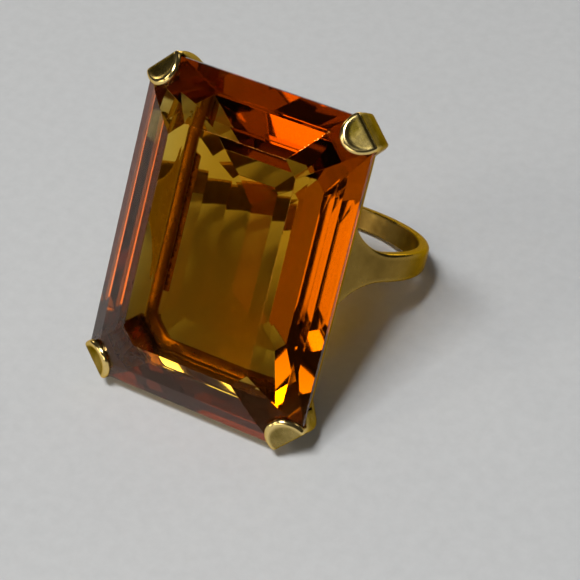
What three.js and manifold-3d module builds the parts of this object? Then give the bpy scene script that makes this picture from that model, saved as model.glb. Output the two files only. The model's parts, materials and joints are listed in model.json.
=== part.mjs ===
// Cocktail ring: a large step-cut stone in an open four-claw basket on a flared gold shank.
// Millimetres. The ring is drawn upright, with X across the stone, Y along the finger and Z from the
// finger's centre up through the stone, and is then laid on its side, as it lies on a table: on its
// two lower claws and the edge of its shank.
import * as THREE from "three";
import { ConvexGeometry } from "three/addons/geometries/ConvexGeometry.js";
import { mergeVertices } from "three/addons/utils/BufferGeometryUtils.js";
import Module from "manifold-3d";

const wasm = await Module();
wasm.setup();

// ---- Driving dimensions ----

// Shank: a flat gold band round the finger, slim at the bottom, flared where it meets the basket.
const FINGER_RADIUS = 8.7;
const BAND_THICKNESS = 1;
const BAND_WIDTH_BOTTOM = 1.9;
const BAND_WIDTH_SIDE = 2.4;
const FLARE_RADIUS = 4.6;
const FLARE_START_Z = 3.5;
const SHOULDER_JOINT_ANGLE = THREE.MathUtils.degToRad(100);
const SHOULDER_STRAIGHT_ANGLE = THREE.MathUtils.degToRad(118);

// Stone: an octagonal step cut. Each tier is a smaller octagon: its inset from the girdle outline,
// its inset at the two ends where that differs, and its height above the girdle's middle.
const STONE_WIDTH = 19.9;
const STONE_LENGTH = 26.7;
const STONE_CORNER = 2.06;
const GIRDLE_Z = 15;
const GIRDLE_THICKNESS = 0.4;
const CROWN_TIERS = [
  { inset: 1.5, rise: 1.45 },
  { inset: 3.4, rise: 2.65 },
  { inset: 4.25, rise: 3.1 },
];
const PAVILION_TIERS = [
  { inset: 3.6, endInset: 3.5, rise: -3.38 },
  { inset: 5.9, endInset: 6.25, rise: -5.12 },
  { inset: 7.9, rise: -5.7 },
  { inset: 9.85, rise: -5.8 },
];

// Basket: a seat rail under the girdle and a smaller base rail, joined by a claw at each corner.
const RAIL_THICKNESS = 0.95;
const SEAT_RAIL_INSET = 0.9;
const SEAT_RAIL_TOP = -1;
const SEAT_RAIL_BOTTOM = -2.7;
const BASE_RAIL_INSET = 3.6;
const BASE_RAIL_HEIGHT = 1.1;
const BASE_RAIL_BOTTOM = -5.8;
const RAIL_CHAMFER = 0.12;

// Claw: a strip on the outside of both rails, which folds over the stone's corner as a rounded tab.
const CLAW_WIDTH = 3.3;
const CLAW_FOOT_WIDTH = 2.2;
const CLAW_LEG_THICKNESS = 0.75;
const CLAW_TAB_THICKNESS = 0.45;
const CLAW_REACH = 1.6;
const CLAW_TAB_STRAIGHT = 0.35;
const CLAW_FACE_BOTTOM = -1;

// Soldered faces stop just short of each other.
const JOINT_GAP = 0.03;

const BAND_RADIUS = FINGER_RADIUS + BAND_THICKNESS;
const RAIL_UNDERSIDE_Z = GIRDLE_Z + BASE_RAIL_BOTTOM;

// Straight steps in each curve of an outline.
const ARC_STEPS = 48;
const TAB_STEPS = 20;

// ---- Materials ----

const gold = (name) =>
  new THREE.MeshStandardMaterial({ name, color: 0xd9ab55, metalness: 1, roughness: 0.28 });
const citrine = new THREE.MeshStandardMaterial({
  name: "citrine",
  color: 0xe07d0c,
  metalness: 0,
  roughness: 0.03,
  transparent: true,
  opacity: 0.75,
});

// ---- Solids ----

function toSolid(geometry) {
  const plain = geometry.clone();
  plain.deleteAttribute("normal");
  plain.deleteAttribute("uv");
  const merged = mergeVertices(plain, 1e-5);
  return new wasm.Manifold(
    new wasm.Mesh({
      numProp: 3,
      vertProperties: merged.attributes.position.array,
      triVerts: new Uint32Array(merged.index.array),
    }),
  );
}

function toGeometry(solid) {
  const mesh = solid.getMesh();
  const geometry = new THREE.BufferGeometry();
  geometry.setAttribute("position", new THREE.BufferAttribute(mesh.vertProperties, 3));
  geometry.setIndex(new THREE.BufferAttribute(mesh.triVerts, 1));
  const faceted = geometry.toNonIndexed();
  faceted.computeVertexNormals();
  return faceted;
}

// An outline in X and Z, extruded along Y, half to each side of the middle plane.
function extrudeAlongY(shape, depth) {
  const geometry = new THREE.ExtrudeGeometry(shape, {
    depth,
    bevelEnabled: false,
    curveSegments: ARC_STEPS,
  });
  return geometry.translate(0, 0, -depth / 2).rotateX(Math.PI / 2);
}

// An outline in Y and Z, extruded along X, half to each side of the middle plane.
function extrudeAlongX(shape, depth) {
  return extrudeAlongY(shape, depth).rotateZ(Math.PI / 2);
}

function outlineOf(points) {
  return new THREE.Shape(points.map(([x, y]) => new THREE.Vector2(x, y)));
}

// The stone's octagon, moved in from the girdle. Its corners shrink in step with its width.
function octagon(inset, endInset = inset) {
  const halfWidth = STONE_WIDTH / 2 - inset;
  const halfLength = STONE_LENGTH / 2 - endInset;
  const corner = (STONE_CORNER * halfWidth) / (STONE_WIDTH / 2);
  return [
    [halfWidth, halfLength - corner],
    [halfWidth - corner, halfLength],
    [corner - halfWidth, halfLength],
    [-halfWidth, halfLength - corner],
    [-halfWidth, corner - halfLength],
    [corner - halfWidth, -halfLength],
    [halfWidth - corner, -halfLength],
    [halfWidth, corner - halfLength],
  ];
}

// How far the octagon's corner edge lies from the stone's middle, measured across the corner.
function cornerDistance(inset) {
  const [[x, y]] = octagon(inset);
  return (x + y) / Math.SQRT2;
}

// ---- Stone ----

function stoneGeometry(growth) {
  const tiers = [
    ...CROWN_TIERS,
    { inset: 0, rise: GIRDLE_THICKNESS / 2 },
    { inset: 0, rise: -GIRDLE_THICKNESS / 2 },
    ...PAVILION_TIERS,
  ];
  const points = tiers.flatMap(({ inset, endInset = inset, rise }) =>
    octagon(inset - growth, endInset - growth).map(
      ([x, y]) => new THREE.Vector3(x, y, GIRDLE_Z + rise),
    ),
  );
  return new ConvexGeometry(points);
}

// ---- Basket ----

function railFrame(inset, bottom, top) {
  const shape = outlineOf(octagon(inset));
  shape.holes.push(outlineOf(octagon(inset + RAIL_THICKNESS)));
  const geometry = new THREE.ExtrudeGeometry(shape, {
    depth: top - bottom - 2 * RAIL_CHAMFER,
    bevelThickness: RAIL_CHAMFER,
    bevelSize: RAIL_CHAMFER,
    bevelOffset: -RAIL_CHAMFER,
    bevelSegments: 1,
  });
  return geometry.translate(0, 0, GIRDLE_Z + bottom + RAIL_CHAMFER);
}

// The seat rail's top is cut to a bearing that fits the stone's pavilion.
function seatRailGeometry() {
  const frame = toSolid(railFrame(SEAT_RAIL_INSET, SEAT_RAIL_BOTTOM, SEAT_RAIL_TOP));
  return toGeometry(frame.subtract(toSolid(stoneGeometry(JOINT_GAP))));
}

function baseRailGeometry() {
  return railFrame(BASE_RAIL_INSET, BASE_RAIL_BOTTOM, BASE_RAIL_BOTTOM + BASE_RAIL_HEIGHT);
}

// Side view of a claw: X runs outwards from the stone's corner edge, and Y is the height above the
// girdle. Inside, it is notched for both rails and the girdle. Outside, it is a straight leg, an
// upright face at the girdle and a bend into the tab, which lies on the crown.
function clawProfile() {
  const across = (inset) => cornerDistance(inset) - cornerDistance(0);
  const baseFace = across(BASE_RAIL_INSET) + JOINT_GAP;
  const seatFace = across(SEAT_RAIL_INSET) + JOINT_GAP;
  const girdleEdge = GIRDLE_THICKNESS / 2 + JOINT_GAP;
  const crownSlope = (CROWN_TIERS[0].rise - GIRDLE_THICKNESS / 2) / across(CROWN_TIERS[0].inset);
  const tabUnderside = (x) => girdleEdge + JOINT_GAP + x * crownSlope;
  const tabTop = (x) => tabUnderside(x) + CLAW_TAB_THICKNESS * Math.hypot(1, crownSlope);
  const outer = CLAW_TAB_THICKNESS;
  const legTop = [outer - CLAW_LEG_THICKNESS / 2, SEAT_RAIL_BOTTOM];
  const kneeY = (SEAT_RAIL_BOTTOM + CLAW_FACE_BOTTOM) / 2;
  const shape = outlineOf([
    [baseFace, BASE_RAIL_BOTTOM],
    [baseFace + CLAW_LEG_THICKNESS, BASE_RAIL_BOTTOM],
    legTop,
  ]);
  shape.quadraticCurveTo(outer, kneeY, outer, CLAW_FACE_BOTTOM);
  shape.lineTo(outer, 0);
  shape.quadraticCurveTo(outer, tabTop(outer), 0, tabTop(0));
  shape.lineTo(-CLAW_REACH, tabTop(-CLAW_REACH));
  shape.lineTo(-CLAW_REACH, tabUnderside(-CLAW_REACH));
  shape.lineTo(JOINT_GAP, girdleEdge);
  shape.lineTo(JOINT_GAP, -girdleEdge);
  shape.lineTo(seatFace, SEAT_RAIL_TOP - RAIL_CHAMFER);
  shape.lineTo(seatFace, SEAT_RAIL_BOTTOM);
  shape.lineTo(baseFace, BASE_RAIL_BOTTOM + BASE_RAIL_HEIGHT);
  return shape;
}

// Front view of the leg, up to the girdle: slim at its foot and full width from the seat rail up.
function legOutline() {
  return outlineOf([
    [-CLAW_FOOT_WIDTH / 2, BASE_RAIL_BOTTOM],
    [CLAW_FOOT_WIDTH / 2, BASE_RAIL_BOTTOM],
    [CLAW_WIDTH / 2, SEAT_RAIL_TOP],
    [CLAW_WIDTH / 2, 0],
    [-CLAW_WIDTH / 2, 0],
    [-CLAW_WIDTH / 2, SEAT_RAIL_TOP],
  ]);
}

// Top view of the tab, above the girdle: straight sides and a half-round inner end.
function tabOutline() {
  const half = CLAW_WIDTH / 2;
  const ellipseX = CLAW_TAB_THICKNESS - CLAW_TAB_STRAIGHT;
  const shape = outlineOf([
    [CLAW_TAB_THICKNESS, -half],
    [CLAW_TAB_THICKNESS, half],
    [ellipseX, half],
  ]);
  shape.absellipse(ellipseX, 0, ellipseX + CLAW_REACH, half, Math.PI / 2, (3 * Math.PI) / 2, false);
  return shape;
}

function clawGeometry() {
  const strip = toSolid(extrudeAlongY(clawProfile(), 2 * CLAW_WIDTH));
  const leg = strip.intersect(toSolid(extrudeAlongX(legOutline(), 2 * STONE_WIDTH)));
  const above = new THREE.ExtrudeGeometry(tabOutline(), {
    depth: GIRDLE_Z,
    bevelEnabled: false,
    curveSegments: TAB_STEPS,
  });
  return toGeometry(leg.add(strip.intersect(toSolid(above))));
}

// ---- Shank and shoulders ----

// Side view of the whole shank: its width tapers up to the flare, whose quarter rounds spread along
// the base rail.
function shankOutline() {
  const bottom = BAND_WIDTH_BOTTOM / 2;
  const side = BAND_WIDTH_SIDE / 2;
  const shape = outlineOf([
    [-bottom, -STONE_LENGTH],
    [bottom, -STONE_LENGTH],
    [bottom, -BAND_RADIUS],
    [side, FLARE_START_Z],
  ]);
  shape.absarc(side + FLARE_RADIUS, FLARE_START_Z, FLARE_RADIUS, Math.PI, Math.PI / 2, true);
  shape.lineTo(side + FLARE_RADIUS, RAIL_UNDERSIDE_Z);
  shape.lineTo(-side - FLARE_RADIUS, RAIL_UNDERSIDE_Z);
  shape.absarc(-side - FLARE_RADIUS, FLARE_START_Z, FLARE_RADIUS, Math.PI / 2, 0, true);
  shape.lineTo(-bottom, -BAND_RADIUS);
  return shape;
}

// A point of the band, by its angle round the finger from the bottom of the shank.
function onBand(radius, angle) {
  return [radius * Math.sin(angle), -radius * Math.cos(angle)];
}

// Above the straight angle the band runs on as its tangent, up to the base rail.
function onTangent(radius, height) {
  const [x, z] = onBand(radius, SHOULDER_STRAIGHT_ANGLE);
  return [x + (height - z) / Math.tan(SHOULDER_STRAIGHT_ANGLE), height];
}

function trimmed(profile) {
  const blank = toSolid(extrudeAlongY(profile, 2 * STONE_LENGTH));
  return toGeometry(blank.intersect(toSolid(extrudeAlongX(shankOutline(), 2 * STONE_LENGTH))));
}

function shankGeometry() {
  const end = SHOULDER_JOINT_ANGLE - Math.PI / 2 - JOINT_GAP / BAND_RADIUS;
  const shape = new THREE.Shape();
  shape.absarc(0, 0, BAND_RADIUS, Math.PI - end, end, false);
  shape.absarc(0, 0, FINGER_RADIUS, end, Math.PI - end, true);
  return trimmed(shape);
}

function shoulderGeometry() {
  const top = RAIL_UNDERSIDE_Z - JOINT_GAP;
  const start = SHOULDER_JOINT_ANGLE - Math.PI / 2;
  const straight = SHOULDER_STRAIGHT_ANGLE - Math.PI / 2;
  const shape = new THREE.Shape();
  shape.absarc(0, 0, BAND_RADIUS, start, straight, false);
  shape.lineTo(...onTangent(BAND_RADIUS, top));
  shape.lineTo(...onTangent(FINGER_RADIUS, top));
  shape.absarc(0, 0, FINGER_RADIUS, straight, start, true);
  return trimmed(shape);
}

// ---- Assembly ----

const ring = new THREE.Group();

function add(name, geometry, material) {
  const mesh = new THREE.Mesh(geometry, material);
  mesh.name = name;
  ring.add(mesh);
  return mesh;
}

add("stone", stoneGeometry(0), citrine);
add("seat_rail", seatRailGeometry(), gold("seat_rail"));
add("base_rail", baseRailGeometry(), gold("base_rail"));
add("shank", shankGeometry(), gold("shank"));

const shoulder = shoulderGeometry();
add("shoulder_right", shoulder, gold("shoulder_right"));
add("shoulder_left", shoulder, gold("shoulder_left")).rotation.z = Math.PI;

// The corner edges' middles lie off the diagonals, towards the stone's ends.
const claw = clawGeometry();
const cornerOffset = (STONE_LENGTH - STONE_WIDTH) / 2 / Math.SQRT2;
for (const [name, quarter, side] of [
  ["claw_upper_right", 1, 1],
  ["claw_upper_left", 3, -1],
  ["claw_lower_left", 5, 1],
  ["claw_lower_right", 7, -1],
]) {
  const corner = new THREE.Group();
  corner.rotation.z = (quarter * Math.PI) / 4;
  const mesh = add(name, claw, gold(name));
  mesh.position.set(cornerDistance(0), side * cornerOffset, GIRDLE_Z);
  corner.add(mesh);
  ring.add(corner);
}

// The ring lies on the edge of the shank's bottom and rolls about it until the claws touch down.
function restingTilt() {
  const pivot = new THREE.Vector2(-BAND_WIDTH_BOTTOM / 2, -BAND_RADIUS);
  const point = new THREE.Vector3();
  let tilt = 0;
  ring.updateMatrixWorld(true);
  ring.traverse((object) => {
    if (!object.isMesh) return;
    const place = object.geometry.attributes.position;
    for (let i = 0; i < place.count; i += 1) {
      point.fromBufferAttribute(place, i).applyMatrix4(object.matrixWorld);
      if (point.z > 0) tilt = Math.max(tilt, Math.atan2(pivot.x - point.y, point.z - pivot.y));
    }
  });
  return tilt;
}

const part = new THREE.Group();
ring.rotation.x = Math.PI / 2 - restingTilt();
part.add(ring);

// The origin is on the surface that it lies on, under the middle of its bounding box.
const box = new THREE.Box3().setFromObject(part, true);
ring.position.set(-(box.min.x + box.max.x) / 2, -(box.min.y + box.max.y) / 2, -box.min.z);

export default part;
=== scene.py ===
"""Cocktail ring: the visual model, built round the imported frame.

Pieces are drawn in millimetres with the ring upright: X across the stone, Y along the finger and Z
from the finger's centre up through the stone. RING then lays them where the frame's ring lies."""
import json
import math

import bmesh
import bpy
from mathutils import Matrix, Vector


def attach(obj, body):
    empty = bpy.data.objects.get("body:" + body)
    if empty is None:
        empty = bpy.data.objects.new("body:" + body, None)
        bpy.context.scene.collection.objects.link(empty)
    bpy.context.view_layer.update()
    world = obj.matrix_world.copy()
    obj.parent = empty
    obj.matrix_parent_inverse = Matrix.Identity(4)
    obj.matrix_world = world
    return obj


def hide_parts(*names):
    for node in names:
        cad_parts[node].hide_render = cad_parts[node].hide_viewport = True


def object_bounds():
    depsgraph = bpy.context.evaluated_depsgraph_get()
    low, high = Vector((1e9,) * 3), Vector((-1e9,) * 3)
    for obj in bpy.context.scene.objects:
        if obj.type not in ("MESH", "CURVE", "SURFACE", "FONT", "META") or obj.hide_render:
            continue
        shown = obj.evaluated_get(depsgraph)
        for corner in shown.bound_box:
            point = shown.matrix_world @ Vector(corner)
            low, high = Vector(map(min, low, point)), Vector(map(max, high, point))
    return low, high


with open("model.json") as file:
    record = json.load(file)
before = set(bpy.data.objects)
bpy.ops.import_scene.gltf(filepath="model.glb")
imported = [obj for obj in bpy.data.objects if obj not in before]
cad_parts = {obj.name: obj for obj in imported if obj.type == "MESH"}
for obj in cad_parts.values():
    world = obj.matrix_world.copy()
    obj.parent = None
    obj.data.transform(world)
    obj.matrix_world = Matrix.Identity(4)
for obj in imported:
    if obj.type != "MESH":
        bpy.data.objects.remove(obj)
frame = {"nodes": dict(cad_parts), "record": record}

cad_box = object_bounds()
scene = bpy.context.scene

MM = 0.001

# Shank and shoulders
FINGER_RADIUS = 8.7
BAND_RADIUS = 9.7
BAND_HALF_BOTTOM = 0.95
BAND_HALF_SIDE = 1.2
FLARE_RADIUS = 4.6
FLARE_START_Z = 3.5
JOINT_ANGLE = math.radians(100)
STRAIGHT_ANGLE = math.radians(118)
EDGE_OUTER = 0.28
EDGE_INNER = 0.16
DOME = 0.06

# Stone and basket
GIRDLE_Z = 15.0
GIRDLE_HALF = 0.2
TABLE_RISE = 3.1
HALF_WIDTH = 9.95
HALF_LENGTH = 13.35
CORNER = 2.06
RAIL_THICKNESS = 0.95
SEAT_RAIL_INSET = 0.9
SEAT_RAIL_BOTTOM = -2.7
SEAT_GAP = 0.08
BASE_RAIL_INSET = 3.6
BASE_RAIL_BOTTOM = -5.8
BASE_RAIL_HEIGHT = 1.1
CROWN_FIRST_TIER = (1.5, 1.45)
PAVILION_SLOPE = 0.9
CLAW_HALF_WIDTH = 1.65
CLAW_HALF_FOOT = 1.1
CLAW_LEG_THICKNESS = 0.75
CLAW_TAB_THICKNESS = 0.45
CLAW_REACH = 1.6
TAB_START = 0.02
TAB_FULLNESS = 0.98
SIDE_RIM = 0.42
TIP_RIM = 0.62
RIM_FOOT = 0.30
RIM_CREST = 0.62
TAB_DISH = 0.16
HAIR = 0.02
FACET_BREAK = 0.035

# Colours and the stone's optics
# The first gold is clean metal. The worn, dull and brown golds are partly tarnish and partly painted
# shade: darker than the metal, standing in for the dark surroundings it reflects.
BRIGHT_GOLD = (0.88, 0.65, 0.24, 1.0)
SHADED_WORN_GOLD = (0.44, 0.28, 0.065, 1.0)
SHADED_DULL_GOLD = (0.105, 0.072, 0.006, 1.0)
SHADED_BROWN_GOLD = (0.10, 0.055, 0.009, 1.0)
GOLD_EDGE = (0.80, 0.58, 0.24, 1.0)
STONE_PALE = (1.0, 0.98, 0.92, 1.0)
STONE_WARM = (1.0, 0.93, 0.80, 1.0)
# The stone's surface reflection is tinted orange: a painted colour on its glint, where a real stone's
# glint is white.
STONE_PAINTED_GLINT = (0.9, 0.32, 0.06, 1.0)
STONE_DEPTH = (0.90, 0.735, 0.0, 1.0)
STONE_DENSITY = 450.0
STONE_IOR = 1.545
FLOOR_LOW = (0.60, 0.60, 0.595, 1.0)
FLOOR_HIGH = (0.64, 0.64, 0.635, 1.0)
WORLD_GREY = (0.86, 0.87, 0.90, 1.0)
WORLD_STRENGTH = 0.035

# Light and camera. The camera looks at the stone from its upper right with a long lens.
LIGHT_DISTANCE = 0.8
WARM = (1.0, 0.94, 0.84)
COOL = (0.96, 0.98, 1.0)
FLOOR_HALF = 6.0
CAMERA_AZIMUTH = 32.45
CAMERA_ELEVATION = 41.48
CAMERA_ROLL = -1.83
CAMERA_DISTANCE = 170.0
CAMERA_LENS = 135.8
CAMERA_ASIDE = 4.87
CAMERA_ABOVE = -3.10


# ---- The ring's own axes, from the stone's table ----

table = next(m for m in frame["record"]["mounts"] if m["name"] == "stone_table")
ring_x = Vector((1, 0, 0))
ring_z = Vector(table["axis"]).normalized()
ring_y = ring_z.cross(ring_x)
finger_centre = Vector(table["pos_m"]) - ring_z * (GIRDLE_Z + TABLE_RISE) * MM
turned = Matrix((ring_x, ring_y, ring_z)).transposed().to_4x4()
RING = Matrix.Translation(finger_centre) @ turned @ Matrix.Scale(MM, 4)


# ---- Node helpers ----

class Nodes:
    """Builds a material's nodes in short lines."""

    def __init__(self, name):
        self.material = bpy.data.materials.new(name)
        self.material.use_nodes = True
        self.tree = self.material.node_tree
        self.shader = self.tree.nodes["Principled BSDF"]
        self.output = self.tree.nodes["Material Output"]

    def add(self, kind, **values):
        node = self.tree.nodes.new("ShaderNode" + kind)
        for key, value in values.items():
            if hasattr(node, key):
                setattr(node, key, value)
            else:
                node.inputs[key.replace("_", " ")].default_value = value
        return node

    def link(self, source, target):
        self.tree.links.new(source, target)
        return target.node

    def noise(self, coords, scale, detail=4.0, roughness=0.55, stretch=(1, 1, 1), turn=(0, 0, 0)):
        place = self.add("Mapping")
        place.inputs["Scale"].default_value = stretch
        place.inputs["Rotation"].default_value = turn
        self.link(coords, place.inputs["Vector"])
        noise = self.add("TexNoise", Scale=scale, Detail=detail, Roughness=roughness)
        self.link(place.outputs[0], noise.inputs["Vector"])
        return noise.outputs["Fac"]

    def spread(self, value, low, high, to_low=0.0, to_high=1.0):
        node = self.add("MapRange")
        node.clamp = True
        for socket, number in zip(node.inputs[1:5], (low, high, to_low, to_high)):
            socket.default_value = number
        self.link(value, node.inputs[0])
        return node.outputs[0]

    def mix(self, factor, first, second):
        node = self.add("Mix", data_type="RGBA")
        for value, socket in ((factor, node.inputs[0]), (first, node.inputs[6]), (second, node.inputs[7])):
            if isinstance(value, (tuple, float)):
                socket.default_value = value
            else:
                self.link(value, socket)
        return node.outputs[2]

    def maths(self, operation, first, second):
        node = self.add("Math", operation=operation)
        for value, socket in ((first, node.inputs[0]), (second, node.inputs[1])):
            if isinstance(value, (int, float)):
                socket.default_value = value
            else:
                self.link(value, socket)
        return node.outputs[0]


def gold(name, clean, dull_and_shaded, scratch_turn, dirt_and_shade, dirt_rough=0.30):
    """Old yellow gold: bright where it is rubbed, darker and rougher in between, finely scratched. The
    darker colour in between is partly tarnish and partly painted shade, and on the claws' rims the bright
    colour is partly a painted highlight.
    """
    n = Nodes(name)
    coords = n.add("TexCoord").outputs["Object"]
    wear_and_painted_light = n.add("Attribute", attribute_name="wear_and_painted_light").outputs["Fac"]
    patches = n.spread(n.noise(coords, 420, 5), 0.38, 0.66)
    specks = n.spread(n.noise(coords, 3400, 8, 0.7), 0.50, 0.70)
    # The darkening mask: one minus the wear mask, scaled by the darkening share and random patches, with
    # specks. It paints shade as well as tarnish: claw centres, outer faces and undersides, the band's
    # inside and the rails' inner faces turn dark.
    grime_and_shade = n.maths("MULTIPLY", n.maths("SUBTRACT", 1.0, wear_and_painted_light), dirt_and_shade)
    grime_and_shade = n.maths("MULTIPLY", grime_and_shade, n.maths("ADD", n.maths("MULTIPLY", patches, 0.40), 0.64))
    grime_and_shade = n.maths("MAXIMUM", grime_and_shade, n.maths("MULTIPLY", specks, 0.22))
    colour = n.mix(grime_and_shade, clean, dull_and_shaded)
    n.link(colour, n.shader.inputs["Base Color"])
    n.shader.inputs["Metallic"].default_value = 1.0
    n.shader.inputs["Specular Tint"].default_value = GOLD_EDGE

    fine = n.noise(coords, 900, 2, 0.5, (1, 14, 1), scratch_turn)
    crossed = n.noise(coords, 700, 2, 0.5, (18, 1, 1), tuple(a + 0.9 for a in scratch_turn))
    scratches = n.maths("ADD", n.spread(fine, 0.62, 0.72), n.spread(crossed, 0.66, 0.76))
    rough = n.maths("ADD", n.maths("MULTIPLY", grime_and_shade, dirt_rough), n.maths("MULTIPLY", scratches, 0.04))
    rough = n.maths("ADD", rough, n.spread(n.noise(coords, 1500, 3), 0.3, 0.7, 0.12, 0.22))
    n.link(rough, n.shader.inputs["Roughness"])

    dents = n.noise(coords, 260, 2, 0.4)
    height = n.maths("ADD", n.maths("MULTIPLY", dents, 1.0), n.maths("MULTIPLY", scratches, -0.012))
    bump = n.add("Bump", Strength=0.55, Distance=0.00012)
    n.link(height, bump.inputs["Height"])
    n.link(bump.outputs[0], n.shader.inputs["Normal"])
    return n.material


def amber(name):
    """Clear orange stone: the colour comes from the depth of stone that the light crosses."""
    n = Nodes(name)
    coords = n.add("TexCoord").outputs["Object"]
    zoning = n.spread(n.noise(coords, 130, 3, 0.5, (1, 0.25, 1)), 0.35, 0.65)
    n.link(n.mix(zoning, STONE_WARM, STONE_PALE), n.shader.inputs["Base Color"])
    haze = n.spread(n.noise(coords, 600, 4, 0.6), 0.35, 0.75, 0.025, 0.055)
    n.link(haze, n.shader.inputs["Roughness"])
    n.shader.inputs["IOR"].default_value = STONE_IOR
    # The orange tint on the stone's reflection is painted; a real glint stays white.
    n.shader.inputs["Specular Tint"].default_value = STONE_PAINTED_GLINT
    n.shader.inputs["Transmission Weight"].default_value = 1.0
    ripple = n.add("Bump", Strength=0.05, Distance=0.00002)
    n.link(n.noise(coords, 500, 2, 0.4), ripple.inputs["Height"])
    n.link(ripple.outputs[0], n.shader.inputs["Normal"])
    depth = n.add("VolumeAbsorption", Color=STONE_DEPTH, Density=STONE_DENSITY)
    n.link(depth.outputs[0], n.output.inputs["Volume"])
    return n.material


# ---- Mesh helpers ----

def add_piece(name, points, faces, material, slot, nodes, wear_and_painted_light=None, sharp=32.0):
    mesh = bpy.data.meshes.new(name)
    mesh.from_pydata([RING @ Vector(p) for p in points], [], faces)
    if wear_and_painted_light is not None:
        layer = mesh.attributes.new("wear_and_painted_light", "FLOAT", "POINT")
        layer.data.foreach_set("value", wear_and_painted_light)
    solid = bmesh.new()
    solid.from_mesh(mesh)
    bmesh.ops.remove_doubles(solid, verts=solid.verts, dist=MM / 2000)
    bmesh.ops.recalc_face_normals(solid, faces=solid.faces)
    solid.to_mesh(mesh)
    solid.free()
    mesh.shade_smooth()
    mesh.set_sharp_from_angle(angle=math.radians(sharp))
    mesh.materials.append(material)
    piece = bpy.data.objects.new(name, mesh)
    scene.collection.objects.link(piece)
    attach(piece, "root")
    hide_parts(*nodes)
    return piece


def loft(sections, closed=False):
    """Joins outlines of equal length one after the other, and caps the ends of an open row."""
    count, rows = len(sections[0]), len(sections)
    points = [p for section in sections for p in section]
    faces = []
    for i in range(rows if closed else rows - 1):
        a, b = i * count, (i + 1) % rows * count
        for j in range(count):
            k = (j + 1) % count
            faces.append((a + j, a + k, b + k, b + j))
    if not closed:
        faces.append(tuple(reversed(range(count))))
        faces.append(tuple(range((rows - 1) * count, rows * count)))
    return points, faces


def between(upper, lower):
    """The closed solid between two grids of points that match."""
    rows, columns = len(upper), len(upper[0])
    points = [p for grid in (upper, lower) for row in grid for p in row]
    below = rows * columns
    faces = []

    def quad(a, b, c, d):
        faces.append((a, b, c, d))

    for i in range(rows - 1):
        for j in range(columns - 1):
            a = i * columns + j
            quad(a, a + 1, a + columns + 1, a + columns)
            a += below
            quad(a, a + columns, a + columns + 1, a + 1)
        for a in (i * columns, i * columns + columns - 1):
            quad(a, a + columns, a + columns + below, a + below)
    for j in range(columns - 1):
        for a in (j, (rows - 1) * columns + j):
            quad(a, a + 1, a + 1 + below, a + below)
    return points, faces


def rounded_strip(half_width, thickness, outer, inner, steps=6, flat_steps=8):
    """Outline across a strip, as (across, out) pairs with rounded edges outside and inside."""
    corners = (
        (half_width - outer, thickness - outer, outer),
        (outer - half_width, thickness - outer, outer),
        (inner - half_width, inner, inner),
        (half_width - inner, inner, inner),
    )
    outline = []
    for quarter, (across, out, radius) in enumerate(corners):
        for i in range(steps + 1):
            angle = (quarter + i / steps) * math.pi / 2
            outline.append((across + radius * math.cos(angle), out + radius * math.sin(angle)))
        start, (x, y, r) = outline[-1], corners[(quarter + 1) % 4]
        angle = (quarter + 1) * math.pi / 2
        end = (x + r * math.cos(angle), y + r * math.sin(angle))
        for i in range(1, flat_steps):
            f = i / flat_steps
            outline.append((start[0] + (end[0] - start[0]) * f, start[1] + (end[1] - start[1]) * f))
    return outline


def octagon(inset, rounding=0.0, steps=4):
    """The stone's outline moved in from the girdle, with its corners rounded if asked."""
    x, y = HALF_WIDTH - inset, HALF_LENGTH - inset
    c = CORNER * x / HALF_WIDTH
    quarter = [(x, y - c), (x - c, y)]
    corners = quarter + [(-px, py) for px, py in reversed(quarter)]
    corners += [(-px, -py) for px, py in quarter] + [(px, -py) for px, py in reversed(quarter)]
    if not rounding:
        return corners
    outline = []
    for i, corner in enumerate(corners):
        here = Vector(corner)
        before = (Vector(corners[i - 1]) - here).normalized() * rounding
        after = (Vector(corners[(i + 1) % 8]) - here).normalized() * rounding
        for k in range(steps + 1):
            f = k / steps
            outline.append(tuple(here + before * (1 - f) ** 2 + after * f ** 2))
    return outline


# ---- Shank and shoulders ----

def half_width(z):
    """Half the band's width at a height: a slow taper, then the flare's quarter round."""
    if z <= FLARE_START_Z:
        f = max(0.0, (z + BAND_RADIUS) / (FLARE_START_Z + BAND_RADIUS))
        return BAND_HALF_BOTTOM + (BAND_HALF_SIDE - BAND_HALF_BOTTOM) * f
    rise = min(z - FLARE_START_Z, FLARE_RADIUS)
    return BAND_HALF_SIDE + FLARE_RADIUS - math.sqrt(FLARE_RADIUS ** 2 - rise ** 2)


def on_band(radius, z):
    """A point of the band at a height: round the finger, then straight up its tangent."""
    straight_z = -radius * math.cos(STRAIGHT_ANGLE)
    if z <= straight_z:
        return math.sqrt(radius ** 2 - z ** 2)
    return radius * math.sin(STRAIGHT_ANGLE) + (z - straight_z) / math.tan(STRAIGHT_ANGLE)


def band_section(inner, outer, thickness):
    """One section of the band between an inner and an outer (x, z), and how rubbed each point is: lighter
    at the outer edges, and darker on the inside, which is painted shade.
    """
    middle = half_width((inner[1] + outer[1]) / 2)
    section, wear_and_painted_light = [], []
    for across, out in rounded_strip(middle, thickness, EDGE_OUTER, EDGE_INNER):
        h = out / thickness
        side = across / middle
        if h > 0.5:
            h -= DOME * side * side
        x = inner[0] + (outer[0] - inner[0]) * h
        z = inner[1] + (outer[1] - inner[1]) * h
        section.append((x, side * half_width(z), z))
        # Outside, the mask rises towards the edges as wear; inside it stays low, so the band's inner face
        # takes painted shade.
        edge = max(0.0, 1.0 - (middle - abs(across)) / 0.45)
        wear_and_painted_light.append(min(1.0, 0.25 + edge) if h > 0.5 else 0.35 * edge)
    return section, wear_and_painted_light


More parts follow.
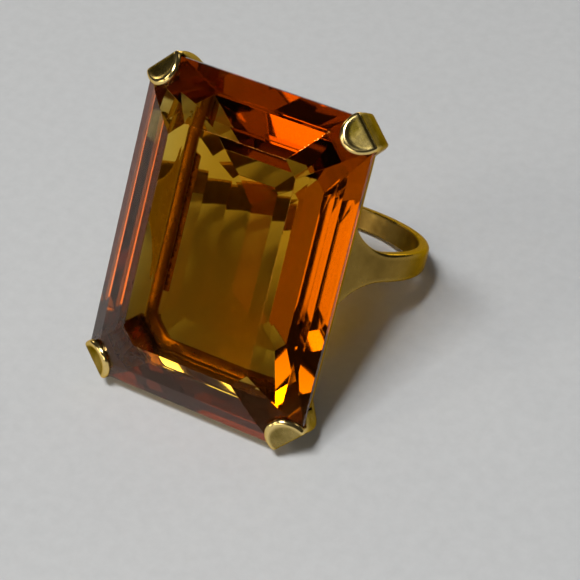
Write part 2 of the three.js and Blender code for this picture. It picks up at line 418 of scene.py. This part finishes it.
def shank(material):
    stations = 200
    sections, wear_and_painted_light = [], []
    for i in range(stations + 1):
        angle = -JOINT_ANGLE + 2 * JOINT_ANGLE * i / stations
        across, up = math.sin(angle), -math.cos(angle)
        section, rub_and_painted_light = band_section(
            (FINGER_RADIUS * across, FINGER_RADIUS * up),
            (BAND_RADIUS * across, BAND_RADIUS * up),
            BAND_RADIUS - FINGER_RADIUS,
        )
        sections.append(section)
        wear_and_painted_light += rub_and_painted_light
    return add_piece("shank_band", *loft(sections), material, "shank_gold", ["shank"], wear_and_painted_light)


def shoulder(name, node, side, material):
    top = GIRDLE_Z + BASE_RAIL_BOTTOM - 0.01
    joint = -BAND_RADIUS * math.cos(JOINT_ANGLE)
    flare_top = FLARE_START_Z + FLARE_RADIUS
    heights = [joint + (FLARE_START_Z - joint) * i / 8 for i in range(8)]
    heights += [FLARE_START_Z + FLARE_RADIUS * math.sin(math.pi / 2 * i / 48) for i in range(48)]
    heights += [flare_top + (top - flare_top) * i / 8 for i in range(9)]
    outer_bend = -BAND_RADIUS * math.cos(STRAIGHT_ANGLE)
    inner_bend = -FINGER_RADIUS * math.cos(STRAIGHT_ANGLE)
    sections, wear_and_painted_light = [], []
    for z in heights:
        if z <= outer_bend:
            inner_z = z * FINGER_RADIUS / BAND_RADIUS
        else:
            inner_z = inner_bend + (top - inner_bend) * (z - outer_bend) / (top - outer_bend)
        section, rub_and_painted_light = band_section(
            (on_band(FINGER_RADIUS, inner_z), inner_z),
            (on_band(BAND_RADIUS, z), z),
            BAND_RADIUS - FINGER_RADIUS,
        )
        sections.append([(side * x, y, z) for x, y, z in section])
        wear_and_painted_light += rub_and_painted_light
    return add_piece(name, *loft(sections), material, "shank_gold", [node], wear_and_painted_light)


# ---- Basket ----

def rail(name, node, profile, material):
    """A rail from its section, as (inset, height) pairs, carried round the stone's outline."""
    sections = []
    for inset, height in profile:
        sections.append([(x, y, GIRDLE_Z + height) for x, y in octagon(inset, 0.35)])
    points, faces = loft(sections, closed=True)
    count = len(sections[0])
    # The outer face gets a high wear value and the faces turned in under the stone a low one, so those are
    # darker: painted shade with tarnish.
    wear_and_painted_light = [0.75 if inset < profile[0][0] + 0.3 else 0.1 for inset, _ in profile for _ in range(count)]
    return add_piece(name, points, faces, material, "basket_gold", [node], wear_and_painted_light)


def rounded_profile(corners, radius, steps=4):
    """A closed section with each corner rounded."""
    profile = []
    for i, corner in enumerate(corners):
        here = Vector(corner)
        before = (Vector(corners[i - 1]) - here).normalized() * radius
        after = (Vector(corners[(i + 1) % len(corners)]) - here).normalized() * radius
        for k in range(steps + 1):
            f = k / steps
            profile.append(tuple(here + before * (1 - f) ** 2 + after * f ** 2))
    return profile


def corner_distance(inset):
    x, y = octagon(inset)[0]
    return (x + y) / math.sqrt(2)


def catmull(a, b, c, d, f):
    """A point on the smooth curve through four points, between the second and the third."""
    square = (2 * a - 5 * b + 4 * c - d) * f ** 2
    cube = (3 * b - a - 3 * c + d) * f ** 3
    return 0.5 * (2 * b + (c - a) * f + square + cube)


def smoothed(pairs, steps):
    """Points between pairs of points: straight inside, on one smooth curve outside."""
    inner = [Vector(p[0]) for p in pairs]
    outer = [Vector(p[1]) for p in pairs]
    last = len(pairs) - 1
    found = []
    for i in range(last):
        for k in range(steps):
            f = k / steps
            high = catmull(outer[max(i - 1, 0)], outer[i], outer[i + 1], outer[min(i + 2, last)], f)
            found.append((inner[i].lerp(inner[i + 1], f), high))
    return found


def claw_side():
    """A claw from its foot to the start of its tab, as (inside, outside) pairs of side-view points.
    A point is (out from the stone's corner edge, height above the girdle)."""
    edge = corner_distance(0)
    base = corner_distance(BASE_RAIL_INSET) - edge + HAIR
    seat = corner_distance(SEAT_RAIL_INSET) - edge + HAIR
    leg = smoothed([
        ((base, BASE_RAIL_BOTTOM), (base + CLAW_LEG_THICKNESS, BASE_RAIL_BOTTOM)),
        ((base, -5.2), (-3.10, -5.25)),
        ((base + 0.3, -4.56), (-2.36, -4.66)),
        ((-3.2, -3.92), (-1.52, -3.99)),
        ((-2.1, -3.28), (-0.75, -3.40)),
        ((seat, SEAT_RAIL_BOTTOM), (-0.06, -2.78)),
        ((seat, -2.2), (0.22, -2.25)),
        ((seat, -1.6), (0.35, -1.65)),
        ((seat + 0.05, -1.12), (0.40, -1.05)),
        ((-0.45, -0.62), (0.41, -0.60)),
        ((HAIR, -0.26), (0.41, -0.25)),
        ((HAIR, 0.05), (0.41, 0.05)),
    ], 5)
    corner = Vector((HAIR, GIRDLE_HALF + HAIR))
    thickness = CLAW_TAB_THICKNESS * TAB_FULLNESS
    bend = []
    for k in range(9):
        angle = TAB_TILT * k / 8
        bend.append((corner, corner + thickness * Vector((math.cos(angle), math.sin(angle)))))
    return leg + bend


CROWN_INSET, CROWN_RISE = CROWN_FIRST_TIER
CROWN_SLOPE = (CROWN_RISE - GIRDLE_HALF) / (corner_distance(0) - corner_distance(CROWN_INSET))
TAB_TILT = math.pi / 2 - math.atan(CROWN_SLOPE)


def rim_height(distance, rim, dish):
    """How full the claw's thickness is, this far in from its outline: a wall, a crest and a dish."""
    f = min(1.0, max(0.0, distance / rim))
    if f < RIM_CREST:
        return RIM_FOOT + (1 - RIM_FOOT) * math.sqrt(1 - (1 - f / RIM_CREST) ** 2)
    f = (f - RIM_CREST) / (1 - RIM_CREST)
    return 1 - dish * f * f * (3 - 2 * f)


def claw(name, node, turn, offset, material):
    lines, tab_rows = 15, 16
    place = Matrix.Rotation(turn, 4, "Z")
    outer, inner, wear_and_painted_light = [], [], []

    def row(points, dish, rub_and_painted_light):
        """Adds one row of (across, inside, outside, distance from the outline, rim width)."""
        tops, bottoms = [], []
        for across, low, high, distance, rim in points:
            fullness = rim_height(distance, rim, dish)
            for found, at in ((tops, low.lerp(high, fullness)), (bottoms, low)):
                point = Vector((corner_distance(0) + at.x, offset + across, GIRDLE_Z + at.y))
                found.append(tuple(place @ point))
            # The mask is high at the outline and zero in the middle, so the tab's rim stays clean gold and
            # its flat centre and outer face go dark: worn rims with a painted highlight, and painted shade
            # standing in for dark reflections.
            wear_and_painted_light.append(rub_and_painted_light * min(1.0, max(0.0, 2.2 * (1.0 - distance / rim))))
        outer.append(tops)
        inner.append(bottoms)

    shares = [math.sin(math.pi / 2 * k / lines) for k in range(-lines, lines + 1)]
    for low, high in claw_side():
        spread = min(1.0, max(0.0, (high.y - BASE_RAIL_BOTTOM) / (-1 - BASE_RAIL_BOTTOM)))
        half = CLAW_HALF_FOOT + (CLAW_HALF_WIDTH - CLAW_HALF_FOOT) * spread
        # Lower down the leg the mask is scaled down, so the claw darkens towards its foot under the stone:
        # painted shade.
        rub_and_painted_light = min(1.0, max(0.25, 1.0 + 0.8 * (high.y - GIRDLE_HALF)))
        row([(half * f, low, high, half * (1 - abs(f)), SIDE_RIM) for f in shares], 0.0, rub_and_painted_light)
    normal = Vector((math.cos(TAB_TILT), math.sin(TAB_TILT))) * CLAW_TAB_THICKNESS * TAB_FULLNESS
    reach = TAB_START + CLAW_REACH
    for i in range(1, tab_rows + 1):
        along = math.sin(math.pi / 2 * i / tab_rows)
        points = []
        for f in shares:
            inwards = reach * math.sqrt(1 - f * f) * along
            low = Vector((TAB_START - inwards, GIRDLE_HALF + HAIR + inwards * CROWN_SLOPE))
            distance = CLAW_HALF_WIDTH * (1 - min(1.0, math.hypot(f, inwards / reach)))
            rim = SIDE_RIM + (TIP_RIM - SIDE_RIM) * math.sqrt(max(0.0, 1 - f * f)) * along
            points.append((CLAW_HALF_WIDTH * f, low, low + normal, distance, rim))
        row(points, TAB_DISH * min(1.0, 2 * i / tab_rows), 1.0)
    points, faces = between(outer, inner)
    # The underside gets no wear value, so it is painted dark as shade.
    return add_piece(name, points, faces, material, "claw_gold", [node], wear_and_painted_light + [0.0] * len(wear_and_painted_light), 50.0)


# ---- Stone ----

def stone(material):
    """The frame's stone with its facets made whole and their meeting edges just broken."""
    solid = bmesh.new()
    solid.from_mesh(frame["nodes"]["stone"].data)
    solid.transform(RING.inverted())
    bmesh.ops.remove_doubles(solid, verts=solid.verts, dist=0.002)
    bmesh.ops.dissolve_limit(solid, angle_limit=math.radians(0.6), verts=solid.verts, edges=solid.edges)
    bmesh.ops.recalc_face_normals(solid, faces=solid.faces)
    bmesh.ops.bevel(
        solid, geom=solid.edges[:], offset=FACET_BREAK, offset_type="OFFSET", segments=1, profile=0.5,
        affect="EDGES", clamp_overlap=True,
    )
    solid.transform(RING)
    mesh = bpy.data.meshes.new("cut_stone")
    solid.to_mesh(mesh)
    solid.free()
    mesh.shade_flat()
    mesh.materials.append(material)
    piece = bpy.data.objects.new("cut_stone", mesh)
    scene.collection.objects.link(piece)
    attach(piece, "root")
    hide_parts("stone")
    return piece


# ---- The object ----

# Each gold mixes its clean colour with a darker one by the wear mask; the fifth number is how far it
# darkens, tarnish and painted shade together.
shank_gold = gold("shank_gold", SHADED_WORN_GOLD, SHADED_BROWN_GOLD, (0.0, 0.0, 0.3), 0.8)
basket_gold = gold("basket_gold", SHADED_WORN_GOLD, SHADED_BROWN_GOLD, (0.5, 0.2, 1.2), 0.8)
claw_gold = gold("claw_gold", BRIGHT_GOLD, SHADED_DULL_GOLD, (0.2, 0.9, 0.6), 0.95, 0.12)

stone(amber("amber_stone"))
shank(shank_gold)
shoulder("shoulder_flare_right", "shoulder_right", 1, shank_gold)
shoulder("shoulder_flare_left", "shoulder_left", -1, shank_gold)

base_outer, base_top = BASE_RAIL_INSET, BASE_RAIL_BOTTOM + BASE_RAIL_HEIGHT
base_corners = [
    (base_outer, BASE_RAIL_BOTTOM),
    (base_outer, base_top),
    (base_outer + RAIL_THICKNESS, base_top),
    (base_outer + RAIL_THICKNESS, BASE_RAIL_BOTTOM),
]
rail("base_rail_wire", "base_rail", rounded_profile(base_corners, 0.22), basket_gold)

seat_outer, seat_inner = SEAT_RAIL_INSET, SEAT_RAIL_INSET + RAIL_THICKNESS
seat_corners = [
    (seat_outer, SEAT_RAIL_BOTTOM),
    (seat_outer, -GIRDLE_HALF - seat_outer * PAVILION_SLOPE - SEAT_GAP),
    (seat_inner, -GIRDLE_HALF - seat_inner * PAVILION_SLOPE - SEAT_GAP),
    (seat_inner, SEAT_RAIL_BOTTOM),
]
rail("seat_rail_wire", "seat_rail", rounded_profile(seat_corners, 0.12), basket_gold)

corner_offset = (HALF_LENGTH - HALF_WIDTH) / math.sqrt(2)
for name, quarter, side in (
    ("upper_right", 1, 1),
    ("upper_left", 3, -1),
    ("lower_left", 5, 1),
    ("lower_right", 7, -1),
):
    claw("claw_tab_" + name, "claw_" + name, quarter * math.pi / 4, side * corner_offset, claw_gold)


# ---- Floor, light and camera ----

def floor():
    n = Nodes("pale_floor")
    coords = n.add("TexCoord").outputs["Object"]
    grain = n.noise(coords, 900, 6, 0.6)
    n.link(n.mix(n.spread(grain, 0.3, 0.7), FLOOR_LOW, FLOOR_HIGH), n.shader.inputs["Base Color"])
    n.shader.inputs["Roughness"].default_value = 0.75
    mesh = bpy.data.meshes.new("floor")
    corners = [(x * FLOOR_HALF, y * FLOOR_HALF, 0) for x, y in ((-1, -1), (1, -1), (1, 1), (-1, 1))]
    mesh.from_pydata(corners, [], [(0, 1, 2, 3)])
    mesh.materials.append(n.material)
    plane = bpy.data.objects.new("floor", mesh)
    scene.collection.objects.link(plane)


def direction(azimuth, elevation):
    """The way from the object to a place round it. Azimuth 0 is in front, at -Y, and 90 at +X."""
    a, e = math.radians(azimuth), math.radians(elevation)
    return Vector((math.sin(a) * math.cos(e), -math.cos(a) * math.cos(e), math.sin(e)))


def softbox(name, azimuth, elevation, wide, high, brightness, colour):
    """A softbox that covers this many degrees of the object's surroundings."""
    lamp = bpy.data.lights.new(name, "AREA")
    lamp.shape = "RECTANGLE"
    lamp.size = 2 * LIGHT_DISTANCE * math.tan(math.radians(wide / 2))
    lamp.size_y = 2 * LIGHT_DISTANCE * math.tan(math.radians(high / 2))
    lamp.energy = brightness * math.pi * lamp.size * lamp.size_y
    lamp.color = colour
    box = bpy.data.objects.new(name, lamp)
    scene.collection.objects.link(box)
    back = direction(azimuth, elevation)
    box.location = middle + back * LIGHT_DISTANCE
    box.rotation_euler = back.to_track_quat("Z", "Y").to_euler()


middle = (cad_box[0] + cad_box[1]) / 2
floor()
# The key and the spark stand high in front: the key makes the floor bright, and the spark lights the
# lower right facets. The strips stand low round the stone and are what its other facets throw back. The
# table's own mirror image falls between them.
softbox("key", -7, 65.5, 19, 8, 40.0, COOL)
softbox("spark", 9, 61, 6, 12, 30.0, COOL)
softbox("left_strip", -43, 10, 23, 13, 2.6, WARM)
softbox("low_strip", -26, 5.6, 12, 4.2, 4.5, WARM)
softbox("front_strip", 2, 12, 28, 14, 3.2, WARM)
softbox("left_fill", -31, 33, 12, 14, 7.0, WARM)
softbox("side_strip", -106, 19, 12, 10, 4.0, WARM)
softbox("back_strip", -162, 3.6, 34, 6, 6.0, WARM)
softbox("back_fill", 153, 28, 10, 8, 4.0, WARM)

world = bpy.data.worlds.new("studio")
scene.world = world
world.use_nodes = True
background = world.node_tree.nodes["Background"]
background.inputs["Color"].default_value = WORLD_GREY
background.inputs["Strength"].default_value = WORLD_STRENGTH

camera = bpy.data.objects.new("camera", bpy.data.cameras.new("camera"))
camera.data.lens = CAMERA_LENS
camera.data.sensor_width = 36.0
camera.data.clip_start = 0.01
scene.collection.objects.link(camera)
scene.camera = camera
back = direction(CAMERA_AZIMUTH, CAMERA_ELEVATION)
facing = back.to_track_quat("Z", "Y") @ Matrix.Rotation(math.radians(CAMERA_ROLL), 3, "Z").to_quaternion()
girdle_centre = RING @ Vector((0, 0, GIRDLE_Z))
aim = facing @ (Vector((CAMERA_ASIDE, CAMERA_ABOVE, CAMERA_DISTANCE)) * MM)
camera.location = girdle_centre + aim
camera.rotation_mode = "QUATERNION"
camera.rotation_quaternion = facing

scene.view_settings.view_transform = "Standard"
